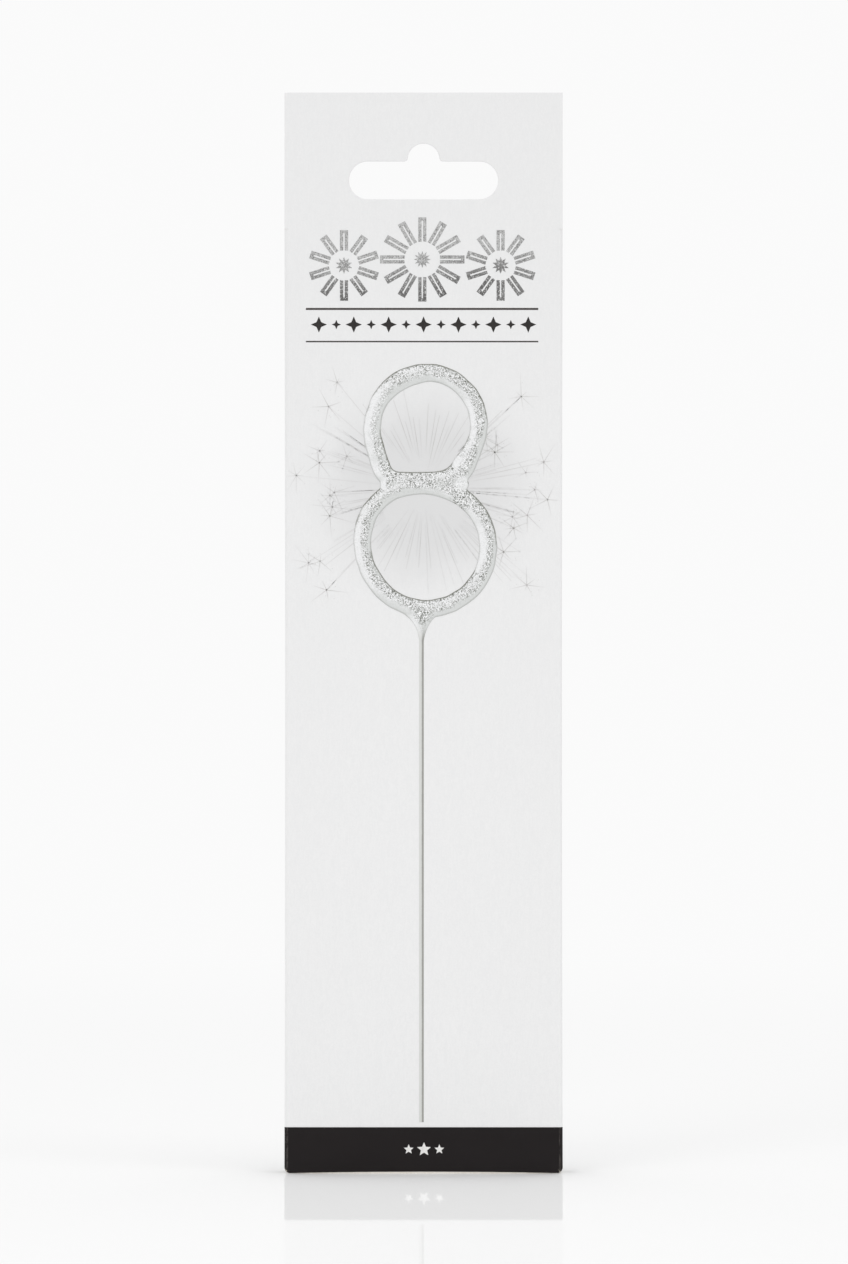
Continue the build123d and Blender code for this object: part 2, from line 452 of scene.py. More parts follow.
def make_board_fibre():
    """Paper fibre: a fine tone, a broad mottle, and a height for bump."""
    outputs = {"Fibre": "Float", "Mottle": "Float", "Height": "Float"}
    group, given = new_group("board_fibre", {"Fibre Scale": FIBRE_SCALE}, outputs)
    place = place_in_mm(group)
    fine = noise_texture(place, given["Fibre Scale"], detail=4)
    strands = noise_texture(vector_maths("MULTIPLY", place, (1, 1, 0.25)), 1.3, distortion=1.5)
    return give(group, multiply(add(fine, strands), 0.5), noise_texture(place, 0.09, detail=3), fine)


def make_glitter_grain():
    """Flat grains of glitter: a tone and a tilted normal for each, and the dark line between them."""
    outputs = {"Tone": "Float", "Joint": "Float", "Normal": "Vector"}
    group, given = new_group("glitter_grain", {"Grains per mm": 3.2, "Tilt": 0.5}, outputs)
    inputs = {"Vector": place_in_mm(group), "Scale": given["Grains per mm"]}
    grains = node(group, "TexVoronoi", inputs).outputs
    tone = node(group, "SeparateColor", {0: grains["Color"]}).outputs[0]
    lean = vector_maths("SUBTRACT", grains["Color"], (0.5, 0.5, 0.5))
    tilt = vector_maths("SCALE", lean, Scale=given["Tilt"])
    leaned = vector_maths("ADD", node(group, "NewGeometry").outputs["Normal"], tilt)
    return give(group, tone, ramp(grains["Distance"], 0.35, 0.75), vector_maths("NORMALIZE", leaned))


def make_shaded_printed_paper(fibre):
    """The paper's colour with a painted shade that deepens to the top, and the soft grey glow printed behind
    the numeral.
    """
    group = new_group("shaded_printed_paper", {}, {"Colour": "Color"})[0]
    place = place_in_mm(group)
    tone = ramp(place_group(group, fibre)["Fibre"], 0.3, 0.7)
    paper = blend(tone, (0.805, 0.806, 0.808), (0.838, 0.838, 0.838))
    # painted shade: the paper is drawn darker towards the top of the pack
    upper = multiply(ramp(axis_of(place, "Z"), 40.0, 235.0), 0.17)
    shaded_paper = blend(upper, paper, (0.66, 0.66, 0.662))
    offset = vector_maths("SUBTRACT", place, BURST_CENTRE)
    reach = length_of(vector_maths("MULTIPLY", offset, (0.95, 0, 1.05)))
    glow = ramp(add(reach, multiply(noise_texture(place, 0.12), 7.0)), GLOW_EDGE, GLOW_CORE)
    on_front = maths("LESS_THAN", axis_of(place, "Y"), FRONT + 1)
    return give(group, blend(multiply(glow, on_front), shaded_paper, (0.705, 0.705, 0.707)))


def new_board(name, fibre, gloss, depth=0.01, specular=0.3, scale=FIBRE_SCALE, follows="Mottle"):
    """A material with the board's grain in its height and its gloss, and the grain."""
    material, tree = new_material(name)
    grain = place_group(tree, fibre, {"Fibre Scale": scale})
    roughness = between(grain[follows], *gloss)
    dress(material, Specular_IOR_Level=specular, Roughness=roughness, Normal=bump(grain["Height"], depth))
    return material, grain


def make_white_board(fibre, paper):
    """Coated white board with a faint fibre."""
    material = new_board("white_board_print", fibre, (0.42, 0.56), 0.012)[0]
    return dress(material, Base_Color=place_group(material.node_tree, paper)["Colour"])


def make_raw_board(fibre):
    """The cut edge and the uncoated inside of the board: cream, soft and fibrous."""
    material, grain = new_board("raw_board", fibre, (0.75, 0.92), 0.04, 0.15, 5.0)
    colour = blend(ramp(grain["Fibre"], 0.3, 0.7), (0.74, 0.70, 0.63), (0.88, 0.855, 0.81))
    return dress(material, Base_Color=colour)


def make_tray_board(fibre):
    """Uncoated white tray board with a soft tooth."""
    material, grain = new_board("tray_board", fibre, (0.72, 0.9), 0.03, 0.2, 3.4, "Fibre")
    clean = blend(ramp(grain["Fibre"], 0.25, 0.75), (0.70, 0.69, 0.66), (0.80, 0.795, 0.775))
    cloud = multiply(ramp(grain["Mottle"], 0.35, 0.65), 0.25)
    return dress(material, Base_Color=blend(cloud, clean, (0.68, 0.66, 0.62)))


def make_black_band(fibre):
    """Warm black ink on the board, rubbed along the creases and nicked at the bottom corners."""
    material, grain = new_board("black_band_ink", fibre, (0.36, 0.5), specular=0.12)
    place = place_in_mm(material.node_tree)
    width = maths("ABSOLUTE", axis_of(place, "X"))
    from_crease = maths("ABSOLUTE", maths("SUBTRACT", width, CREASE_START + 0.25))
    worn = multiply(ramp(from_crease, 0.3, 0.08), ramp(grain["Fibre"], 0.38, 0.62))
    ink = blend(grain["Mottle"], (0.0105, 0.0085, 0.0085), (0.0145, 0.0120, 0.0125))
    rubbed = blend(worn, ink, (0.062, 0.056, 0.053))
    outer = ramp(width, CREASE_START - 0.4, CREASE_START + 0.6)
    corner = multiply(ramp(axis_of(place, "Z"), 1.5, 0.5), outer)
    chipped = multiply(corner, ramp(noise_texture(place, 2.2), 0.56, 0.62))
    return dress(material, Base_Color=blend(chipped, rubbed, (0.62, 0.56, 0.46)))


def make_plain_ink(name, fibre, dark, light, roughness):
    """A printed ink that takes the board's grain."""
    material, grain = new_board(name, fibre, (roughness, roughness), scale=4.0)
    return dress(material, Base_Color=blend(ramp(grain["Fibre"], 0.3, 0.7), dark, light))


def make_ray_ink(paper):
    """Pale ink that thins out into the paper where the piece's ink attribute falls."""
    material, tree = new_material("pale_ray_ink")
    tint = ramp(noise_texture(place_in_mm(tree), 0.3), 0.4, 0.6)
    ink = blend(tint, (0.40, 0.395, 0.36), (0.47, 0.44, 0.43))
    colour = blend(attribute(tree, "ink", "Fac"), place_group(tree, paper)["Colour"], ink)
    return dress(material, Base_Color=colour, Specular_IOR_Level=0.3, Roughness=0.5)


def spot(place, patch):
    """A soft round patch on the front print."""
    x, z, radius = patch
    return ramp(length_of(vector_maths("SUBTRACT", place, (x, PRINT_FACE, z))), radius, 0.45 * radius)


def wire_colours(across):
    """The printed picture of the bare wire: light along its left, dark along its right."""
    return blend(ramp(across, -0.1, 0.45), STEM_LIGHT, STEM_SHADE)


def make_stem_print(fibre):
    """The printed stem: bare wire with the board's grain in it."""
    material, grain = new_board("stem_print", fibre, (0.45, 0.45), scale=4.0)
    across = axis_of(attribute(material.node_tree, "tube_normal", "Vector"), "X")
    shift = multiply(maths("SUBTRACT", grain["Fibre"], 0.5), 0.5)
    return dress(material, Base_Color=wire_colours(add(across, shift)))


def speck_cover(place, tube, wander, upper_side):
    """Where specks lie: along the tube's crest, on its upper sides and in two gathered patches."""
    crest = add(turned_to(tube, (0.2, -0.97, 0.1)), multiply(wander, 0.4))
    covered = multiply(ramp(crest, 0.8, 1.0), 0.88)
    for cover in (ramp(upper_side, 0.12, 0.65), spot(place, THROAT_PATCH), spot(place, GATHERED_PATCH)):
        covered = maths("MAXIMUM", covered, cover)
    return multiply(covered, ramp(axis_of(place, "Z"), NECK_BOTTOM + 1, NECK_TOP - 2))


def add_specks(skin, place, cover, tone):
    """Dark specks in clumps, bright ones between them, and a few faint ones all over a skin colour."""
    clump = maths("MAXIMUM", ramp(noise_texture(place, 2.4), 0.38, 0.58), 0.3)
    thinned = multiply(cover, between(spot(place, CALM_PATCH), 1.0, 0.5))
    dark = multiply(multiply(thinned, clump), ramp(tone, 0.4, 0.54))
    specked = blend(dark, skin, (0.095, 0.10, 0.08))
    glinting = blend(multiply(cover, ramp(tone, 0.3, 0.15)), specked, (0.93, 0.935, 0.94))
    return blend(multiply(ramp(tone, 0.72, 0.9), 0.22), glinting, (0.42, 0.43, 0.40))


def add_outline(skin, tube, upper_side):
    """A dark line round the printed tube on a skin colour, strongest along its upper sides."""
    facing = maths("ABSOLUTE", turned_to(tube, FORWARD))
    drawn = maths("MAXIMUM", ramp(upper_side, -0.3, 0.7), 0.35)
    outline = multiply(ramp(facing, 0.6, 0.36), drawn)
    return blend(multiply(outline, 0.85), skin, (0.17, 0.175, 0.145))


def make_glitter_print(grain_group):
    """The printed picture of the glitter coat: a tube lit from the upper left, with wire at its neck."""
    material, tree = new_material("glitter_print")
    place = place_in_mm(tree)
    grain = place_group(tree, grain_group, {"Grains per mm": 5.6, "Tilt": 0.25})
    tube = attribute(tree, "tube_normal", "Vector")
    wander = maths("SUBTRACT", noise_texture(place, 0.3, detail=3), 0.5)
    upper_side = add(turned_to(tube, (0.15, 0, 0.99)), multiply(wander, 1.6))
    cover = speck_cover(place, tube, wander, upper_side)
    lit = ramp(add(turned_to(tube, (-0.62, -0.55, 0.56)), wander), 0.1, 0.8)
    skin = blend(lit, (0.66, 0.672, 0.665), (0.84, 0.843, 0.85))
    specked = add_specks(skin, place, cover, grain["Tone"])
    gleaming = blend(multiply(spot(place, GLEAM_PATCH), 0.55), specked, (0.90, 0.905, 0.91))
    outlined = add_outline(gleaming, tube, upper_side)
    low = ramp(axis_of(place, "Z"), NECK_BOTTOM + 4, NECK_BOTTOM + 0.3)
    colour = blend(low, outlined, wire_colours(turned_to(tube, ACROSS)))
    dress(material, Base_Color=colour, Normal=grain["Normal"])
    return dress(material, Specular_IOR_Level=0.3, Roughness=0.45)


def make_foil(grain_group):
    """Silver glitter foil with a painted sheen: lighter towards the top, darker towards the foot of each
    motif.
    """
    material, tree = new_material("silver_glitter_foil")
    place = place_in_mm(tree)
    grain = place_group(tree, grain_group, {"Grains per mm": 5.5, "Tilt": 0.45})
    # painted sheen: the foil's silver brightens with height and with a slow noise, as if it mirrored light
    height = ramp(axis_of(place, "Z"), FOIL_BOTTOM, FOIL_TOP)
    bright = ramp(add(multiply(height, 0.7), noise_texture(place, 0.07)), 0.3, 1.3)
    silver = blend(bright, (0.10, 0.098, 0.095), (0.50, 0.50, 0.497))
    grey = blend(ramp(grain["Tone"], 0.45, 1.2), silver, (0.12, 0.118, 0.115))
    glint = blend(ramp(grain["Tone"], 0.25, 0.02), grey, (0.66, 0.66, 0.66))
    dress(material, Base_Color=glint, Roughness=between(grain["Tone"], 0.3, 0.55), Normal=grain["Normal"])
    return dress(material, Metallic=0.35, Specular_IOR_Level=0.5)


def make_sparkler_coat(grain_group):
    """The dried coat that burns: rough grey paste full of bright metal grains."""
    material, tree = new_material("sparkler_coat")
    grain = place_group(tree, grain_group, {"Grains per mm": 2.8, "Tilt": 0.9})
    cloud = noise_texture(place_in_mm(tree), 0.5, detail=5)
    paste = blend(ramp(cloud, 0.3, 0.7), (0.33, 0.33, 0.32), (0.56, 0.56, 0.55))
    pitted = blend(multiply(grain["Joint"], 0.7), paste, (0.14, 0.14, 0.13))
    metal = ramp(grain["Tone"], 0.5, 0.75)
    dress(material, Base_Color=blend(metal, pitted, (0.78, 0.78, 0.77)), Specular_IOR_Level=0.4)
    dress(material, Metallic=multiply(metal, 0.85), Roughness=between(metal, 0.8, 0.28))
    return dress(material, Normal=bump(cloud, 0.25, 0.8, Normal=grain["Normal"]))


def make_steel_wire():
    """Drawn steel wire: fine lines along it and a little dull scale."""
    material, tree = new_material("drawn_steel_wire")
    place = place_in_mm(tree)
    lines = noise_texture(vector_maths("MULTIPLY", place, (9.0, 9.0, 0.12)), 1.0, detail=3)
    scale = noise_texture(place, 0.4, detail=4)
    steel = blend(lines, (0.30, 0.30, 0.31), (0.56, 0.56, 0.56))
    dull = blend(ramp(scale, 0.55, 0.75), steel, (0.20, 0.18, 0.16))
    dress(material, Base_Color=dull, Roughness=between(scale, 0.25, 0.5), Normal=bump(lines, 0.01))
    return dress(material, Metallic=1.0)


# Sleeve


def draw_hang_slot(bm, y, margin=0.0):
    """The outline of the hang slot in a plane across Y, larger all round by the margin."""
    corner_z = SLOT_CENTRE + SLOT_RADIUS + SLOT_CORNER
    corner_reach = PEAK_RADIUS + SLOT_CORNER
    lean = asin((corner_z - PEAK_CENTRE) / corner_reach)
    corner_x = corner_reach * cos(lean)
    quarter = 90 - degrees(lean)
    side = run(x=SLOT_RUN - corner_x)
    draw_line(
        bm, (corner_x, y, SLOT_CENTRE + SLOT_RADIUS + margin), side,
        bend((SLOT_RUN, y, SLOT_CENTRE), FORWARD, -180, 20), run(x=-2 * SLOT_RUN),
        bend((-SLOT_RUN, y, SLOT_CENTRE), FORWARD, -180, 20), side,
        bend((-corner_x, y, corner_z), FORWARD, quarter, 6),
        bend((0, y, PEAK_CENTRE), FORWARD, -2 * quarter, 20),
        bend((corner_x, y, corner_z), FORWARD, quarter, 6),
    )


def crease(centre, *turns):
    """An upright crease, turned through its angles one after the other."""
    return [bend(centre, UP, -turn, max(1, turn // 17)) for turn in turns]


def wrap_pack(bm, top, steps):
    """Draws a sheet once round the pack from the back's free edge, and gives its last edges."""
    edge = FOOT_CORNER - CREASE_RADIUS
    flat = 2 * CREASE_START
    depth = BACK - FRONT - 2 * CREASE_RADIUS
    front_y, back_y = FRONT + CREASE_RADIUS, BACK - CREASE_RADIUS
    seam = draw_line(bm, (-CREASE_START, BACK, SLEEVE_BOTTOM), run(z=top - SLEEVE_BOTTOM, steps=steps))
    return carry(
        bm, seam + bm.verts[:], run(x=flat, steps=12), *crease((CREASE_START, back_y, 0), 3, 87),
        run(y=-depth, steps=3), *crease((CREASE_START, front_y, 0), 87, 3), run(x=-edge, steps=3),
        run(x=2 * edge - flat, steps=16), run(x=-edge, steps=3),
        *crease((-CREASE_START, front_y, 0), 3, 87), run(y=depth - LAP, steps=3),
        *crease((-CREASE_START, back_y - LAP, 0), 87, 3),
    )


def fill_between(bm, y, lowest):
    """Fills between the outlines in a plane across Y from a height up, and leaves the inner one open."""
    ops.remove_doubles(bm, verts=bm.verts[:], dist=MERGE)
    outlines = open_edges(bm, lambda place: near(place.y, y) and place.z > lowest - SNAP)
    ops.triangle_fill(bm, use_beauty=True, edges=outlines)


def add_header(bm, front_top):
    """Fills the flat header above the front, with the hang slot in it."""
    right = rightmost(front_top)
    draw_line(
        bm, right, run(z=BOARD), run(x=CREASE_RADIUS), run(z=PACK_TOP - SHOULDER, steps=6),
        run(x=-2 * PACK_HALF_WIDTH, steps=12), run(z=SHOULDER - PACK_TOP, steps=6), run(x=CREASE_RADIUS),
        run(z=-BOARD),
    )
    draw_hang_slot(bm, FRONT, SLOT_LIP)
    draw_hang_slot(bm, FRONT + SLOT_PRESS)
    fill_between(bm, FRONT, right.co.z)
    press_slot_edge(bm)


def press_slot_edge(bm):
    """Joins the header to the slot by the narrow lip that the cutting die presses in."""
    half_width = SLOT_RUN + SLOT_RADIUS + 1
    low, high = SLOT_CENTRE - SLOT_RADIUS - 1, PEAK_CENTRE + PEAK_RADIUS + 1
    rims = open_edges(bm, lambda place: abs(place.x) < half_width and low < place.z < high)
    ops.bridge_loops(bm, edges=rims)


def add_top_fold(bm, back_top):
    """Folds the back's top edge over the pack and up behind the header as its second ply."""
    top = SHOULDER + BOARD
    backing = FRONT + 2 * BOARD
    back_y = BACK - CREASE_RADIUS
    last = carry(
        bm, back_top + ends_of(back_top), bend((0, back_y, top - CREASE_RADIUS), ACROSS, 90, 5),
        run(y=backing + TOP_FOLD - back_y, steps=3),
        bend((0, backing + TOP_FOLD, top + TOP_FOLD), ACROSS, -90, 4),
    )
    right = rightmost(only(EDGE, last))
    ear = CREASE_RADIUS - HEADER_INSET
    height = PACK_TOP - HEADER_INSET - top - TOP_FOLD
    draw_line(
        bm, right, run(x=ear), run(z=height, steps=6),
        run(x=-2 * (PACK_HALF_WIDTH - HEADER_INSET), steps=12), run(z=-height, steps=6), run(x=ear),
    )
    draw_hang_slot(bm, backing, BACKING_SLOT_MARGIN)
    fill_between(bm, backing, right.co.z)


def top_edges(bm, y):
    """The edges along the top of the sleeve's front or back."""
    flat = CREASE_START + SNAP
    return edges_where(bm, lambda place: near(place.z, BODY_TOP) and abs(place.x) < flat and near(place.y, y))


def make_sleeve(white_board, raw_board):
    """The sleeve as one folded sheet of board, from its back seam round to the glue flap."""
    bm = bmesh.new()
    last = wrap_pack(bm, BODY_TOP, 24)
    for vert in only(VERT, carry(bm, last, run(x=GLUE_FLAP, steps=3))):
        vert.co.z = min(max(vert.co.z, SLEEVE_BOTTOM + GLUE_FLAP_SETBACK), BODY_TOP - GLUE_FLAP_SETBACK)
    relax(bm)
    round_foot(bm)
    add_header(bm, top_edges(bm, FRONT))
    add_top_fold(bm, top_edges(bm, BACK))
    for vert in bm.verts:
        if near(vert.co.z, BODY_TOP) and abs(vert.co.x) > CREASE_START + SNAP:
            vert.co.z = SHOULDER - SNAP
    turn_sheet(bm, lambda place: place.y < FRONT + SNAP and place.z < SHOULDER / 2, -1)
    stands_for = ["front_panel", "back_panel", "left_side_panel", "right_side_panel"]
    stands_for += ["glue_flap", "top_panel", "header_backing"]
    boards = [white_board, raw_board]
    finish_piece("sleeve_board", bm, "sleeve", boards, stands_for, [board_thickness()])


def make_base_band(black_band):
    """The black band printed round the foot of the sleeve."""
    bm = bmesh.new()
    wrap_pack(bm, BAND_TOP, 4)
    relax(bm)
    round_foot(bm)
    turn_sheet(bm, lambda place: place.y < FRONT + SNAP, -1)
    bm.normal_update()
    for vert in bm.verts:
        vert.co += vert.normal * BAND_LIFT
    skin = [board_thickness(BAND_SKIN)]
    finish_piece("black_band", bm, "sleeve", [black_band], ["base_band"], skin)


# Sparkler


def flare(rise, height, reach):
    """Half the neck's breadth at a rise above its lip, on an arc that ends at reach."""
    spread = reach - NECK_LIP
    radius = (height**2 + spread**2) / (2 * spread)
    return NECK_LIP + radius - sqrt(radius**2 - rise**2)


def draw_ring(bm, x, z, radius, segments=20):
    """A level ring about a point in the sparkler's plane, and its parts for drawing out."""
    place = Matrix.Translation((x, SPARKLER_Y, z))
    ring = ops.create_circle(bm, segments=segments, radius=radius, matrix=place)["verts"]
    return ring + list({edge for vert in ring for edge in vert.link_edges})


def add_lower_loop(bm):
    """The round lower loop."""
    ring = draw_ring(bm, NUMERAL_X + LOWER_LOOP_RADIUS, LOWER_LOOP_Z, COAT_RADIUS)
    around = bend((NUMERAL_X, SPARKLER_Y, LOWER_LOOP_Z), FORWARD, 360, 72)
    ops.spin(bm, geom=ring, use_merge=True, **around)


def add_upper_loop(bm):
    """The upper loop from its right side over the arch, down the left leg, along the foot and back up."""
    lean = radians(LEG_ANGLE)
    centre = Vector((NUMERAL_X, SPARKLER_Y, UPPER_LOOP_Z))
    start_z = UPPER_LOOP_Z - UPPER_LOOP_RADIUS * sin(lean)
    drop = start_z - FOOT_Z - FOOT_RADIUS * (1 - sin(lean))
    slip = drop * tan(lean)
    foot_half = UPPER_LOOP_RADIUS * cos(lean) - slip - FOOT_RADIUS * cos(lean)
    corner_z = FOOT_Z + FOOT_RADIUS
    turn = 90 - LEG_ANGLE
    ring = draw_ring(bm, NUMERAL_X + UPPER_LOOP_RADIUS, UPPER_LOOP_Z, COAT_RADIUS)
    carry(
        bm, ring, bend(centre, FORWARD, 180 + LEG_ANGLE, 40), run(x=slip, z=-drop, steps=4),
        bend((NUMERAL_X - foot_half, SPARKLER_Y, corner_z), FORWARD, turn, 12),
        run(x=2 * foot_half, steps=4),
        bend((NUMERAL_X + foot_half, SPARKLER_Y, corner_z), FORWARD, turn, 12),
        run(x=slip, z=drop, steps=4), bend(centre, FORWARD, LEG_ANGLE, 5),
    )


def add_neck(bm):
    """The flat flare of coat from the loop down to the wire."""
    height = NECK_TOP - NECK_BOTTOM
    levels = 8
    ring = draw_ring(bm, STEM_X, NECK_BOTTOM, NECK_LIP)
    ops.contextual_create(bm, geom=ring)
    edges = only(EDGE, ring)
    width, depth = NECK_LIP, NECK_LIP
    to_stem = Matrix.Translation((-STEM_X, -SPARKLER_Y, 0))
    for level in range(1, levels + 1):
        rise = height * level / levels
        made = ops.extrude_edge_only(bm, edges=edges)["geom"]
        verts = only(VERT, made)
        edges = [edge for edge in only(EDGE, made) if all(vert in verts for vert in edge.verts)]
        wider, deeper = flare(rise, height, NECK_HALF_WIDTH), flare(rise, height, NECK_HALF_DEPTH)
        ops.scale(bm, vec=(wider / width, deeper / depth, 1), space=to_stem, verts=verts)
        ops.translate(bm, vec=(0, 0, height / levels), verts=verts)
        width, depth = wider, deeper
    ops.contextual_create(bm, geom=edges)


def add_waist_fill(bm):
    """The coat that gathers in the two notches where the loops meet."""
    for from_middle, radius in WAIST_FILLS:
        place = Matrix.Translation((NUMERAL_X + from_middle, SPARKLER_Y, WAIST_FILL_Z))
        ops.create_icosphere(bm, subdivisions=3, radius=radius, matrix=place)


def form_numeral():
    """The numeral's coat as one even skin, in millimetres."""
    bm = bmesh.new()
    add_lower_loop(bm)
    add_upper_loop(bm)
    add_neck(bm)
    add_waist_fill(bm)
    ops.remove_doubles(bm, verts=bm.verts[:], dist=MERGE)
    ops.recalc_face_normals(bm, faces=bm.faces[:])
    form = new_object("numeral_form", bm)
    skin = [("REMESH", {"mode": "VOXEL", "voxel_size": 0.24}), ("SMOOTH", {"iterations": 6})]
    even = applied_mesh(form, skin)
    bpy.data.objects.remove(form)
    swell(even, 0.16, 0.35)
    return even


def swell(mesh, height, scale):
    """Moves a skin in and out by a smooth noise."""
    shifts = [vert.normal * height * noise.noise(vert.co * scale) for vert in mesh.vertices]
    for vert, shift in zip(mesh.vertices, shifts):
        vert.co += shift


def make_coat(numeral, sparkler_coat):
    """The real coat: the numeral's skin, lumpy from dipping."""
    skin = numeral.copy()
    swell(skin, 0.10, 0.9)
    swell(skin, 0.09, 2.3)
    bm = bmesh.new()
    bm.from_mesh(skin)
    coat = [sparkler_coat]
    finish_piece("sparkler_coat", bm, "sparkler", coat, ["sparkler_coating"], sharp=180)


def lean_waist(bm):
    """Draws the numeral's waist over to the left, as the wire was bent by hand."""
    for vert in bm.verts:
        height = exp(-(((vert.co.z - BURST_CENTRE.z) / WAIST_REACH) ** 2))
        right = min(1.0, max(0.0, (vert.co.x - LEAN_FULL_TO) / LEAN_FADE))
        vert.co.x -= WAIST_LEAN * height * (1 - right * right * (3 - 2 * right))


def thicken(bm, tube, x, z, heading, reach, amount):
    """Draws the tube's side that looks along a heading (x, z) further out near a point."""
    for vert in bm.verts:
        near_point = exp(-((vert.co.x - x) ** 2 + (vert.co.z - z) ** 2) / reach**2)
        turned = max(0.0, min(1.0, 2 * (vert[tube].x * heading[0] + vert[tube].z * heading[1])))
        vert.co.x += amount * near_point * turned * heading[0]
        vert.co.z += amount * near_point * turned * heading[1]


def flatten_to_print(bm):
    """Keeps the front half of a form, and presses it almost flat on the front."""
    middle = (0, SPARKLER_Y, 0)
    every = bm.verts[:] + bm.edges[:] + bm.faces[:]
    ops.bisect_plane(bm, geom=every, plane_co=middle, plane_no=(0, 1, 0), clear_outer=True, dist=0.001)
    to_middle = Matrix.Translation((0, -SPARKLER_Y, 0))
    ops.scale(bm, vec=(1, PRINT_RELIEF / COAT_RADIUS, 1), space=to_middle, verts=bm.verts[:])
    ops.translate(bm, vec=(0, PRINT_FACE - SPARKLER_Y, 0), verts=bm.verts[:])
    press_on_front(bm)


def make_numeral_print(numeral, glitter_print, stem_print):
    """The life-size print of the numeral and its stem, which keeps the round tube's normals."""
    bm = bmesh.new()
    bm.from_mesh(numeral)
    tube = bm.verts.layers.float_vector.new("tube_normal")
    on_numeral = set(bm.verts)
    stem = draw_ring(bm, STEM_X, STEM_TIP, WIRE_RADIUS, 16)
    carry(bm, stem, run(z=NECK_BOTTOM + 1 - STEM_TIP, steps=24))
    ops.recalc_face_normals(bm, faces=bm.faces[:])
    for face in faces_where(bm, lambda place: place.z < NECK_BOTTOM):
        face.material_index = 1
    bm.normal_update()
    for vert in bm.verts:
        from_axis = Vector((vert.co.x - STEM_X, vert.co.y - SPARKLER_Y, 0)).normalized()
        vert[tube] = vert.normal if vert in on_numeral else from_axis
    lean_waist(bm)
    for corner in THICK_CORNERS:
        thicken(bm, tube, *corner)
    flatten_to_print(bm)
    inks = [glitter_print, stem_print]
    finish_piece("printed_numeral", bm, "sleeve", inks, ["numeral_print"], sharp=180)


# Prints on the sleeve


def press_on_front(bm):
    """Lays a flat print on the bowed front."""
    for vert in bm.verts:
        vert.co.y += draw_in(vert.co.x, vert.co.z)


def finish_print(name, bm, ink):
    """Presses a flat print on the front and lets it ride on the sleeve."""
    ops.recalc_face_normals(bm, faces=bm.faces[:])
    for face in bm.faces:
        if face.normal.y > 0:
            face.normal_flip()
    press_on_front(bm)
    finish_piece(name, bm, "sleeve", [ink])


def lay_bar(bm, start, end, width, steps, lift=0.0):
    """A thin printed bar between two points (x, z) on the front."""
    along = Vector((end[0] - start[0], 0, end[1] - start[1]))
    middle = Vector(((start[0] + end[0]) / 2, PRINT_FACE - lift, (start[1] + end[1]) / 2))
    turn = Matrix.Rotation(-atan2(along.z, along.x), 4, "Y")
    size = Matrix.Diagonal((along.length, 1, width, 1))
    place = Matrix.Translation(middle) @ turn @ size @ UPRIGHT
    return ops.create_grid(bm, x_segments=steps, y_segments=1, size=0.5, matrix=place)["verts"]


def lay_star(bm, x, z, points, radius, waist, lift=0.0):
    """A flat star on the front."""
    place = Matrix.Translation((x, PRINT_FACE - lift, z)) @ UPRIGHT
    shape = {"cap_ends": True, "segments": 2 * points, "radius": radius, "matrix": place}
    made = ops.create_circle(bm, **shape)["verts"]
    to_middle = Matrix.Translation((-x, 0, -z))
    ops.scale(bm, vec=(waist, 1, waist), space=to_middle, verts=made[1::2])


def heading_at(angle):
    """The direction (x, z) at an angle."""
    return Vector((cos(angle), sin(angle)))


def make_burst(ray_ink):
    """Thin rays that fly out from behind the numeral, and at its sides end in sparks."""
    bm = bmesh.new()
    ink = bm.verts.layers.float.new("ink")
    chance = random.Random(8)
    centre = Vector((BURST_CENTRE.x, BURST_CENTRE.z))
    for middle in (90, 270):
        for ray in range(16):
            heading = heading_at(radians(middle + (ray - 7.5) * 4.6 + chance.uniform(-2, 2)))
            first, last = centre + heading * chance.uniform(4, 10), centre + heading * chance.uniform(15, 25)
            lay_ray(bm, ink, first, last, chance.uniform(0.15, 0.5), 0.4)
    for middle in (0, 180):
        for bundle in range(17):
            angle = radians(middle + (bundle - 8) * 6.2 + chance.uniform(-3, 3))
            reach = min(chance.uniform(17, 33.5), 30.2 / abs(cos(angle)), 26 / max(0.1, sin(angle)))
            add_bundle(bm, ink, centre, angle, reach, chance)
    finish_print("burst_rays", bm, ray_ink)


def add_bundle(bm, ink, centre, angle, reach, chance):
    """A few rays close together; most bundles end in a spark."""
    for ray in range(chance.choice((1, 2, 2, 3, 4))):
        heading = heading_at(angle + chance.uniform(-0.06, 0.06) * min(ray, 1))
        last = centre + heading * reach * (chance.uniform(0.75, 1) if ray else 1)
        first = centre + heading * (9 + 4 * abs(heading.y))
        lay_ray(bm, ink, first, last, chance.uniform(0.12, 0.4), chance.uniform(0, 0.6))
    if chance.random() < 0.7:
        add_spark(bm, ink, centre + heading_at(angle) * reach, chance)


def lay_ray(bm, ink, start, end, peak, tail, rise=0.5, width=0.15):
    """A thin bar whose ink rises to its peak over the first share of it and then falls to its tail."""
    along = end - start
    for vert in lay_bar(bm, start, end, width, 8):
        share = max(0, (Vector((vert.co.x, vert.co.z)) - start).dot(along) / along.length_squared)
        falling = 1 - (1 - tail) * max(0, share - rise) / (1 - rise)
        vert[ink] = peak * (share / rise if share < rise else falling)


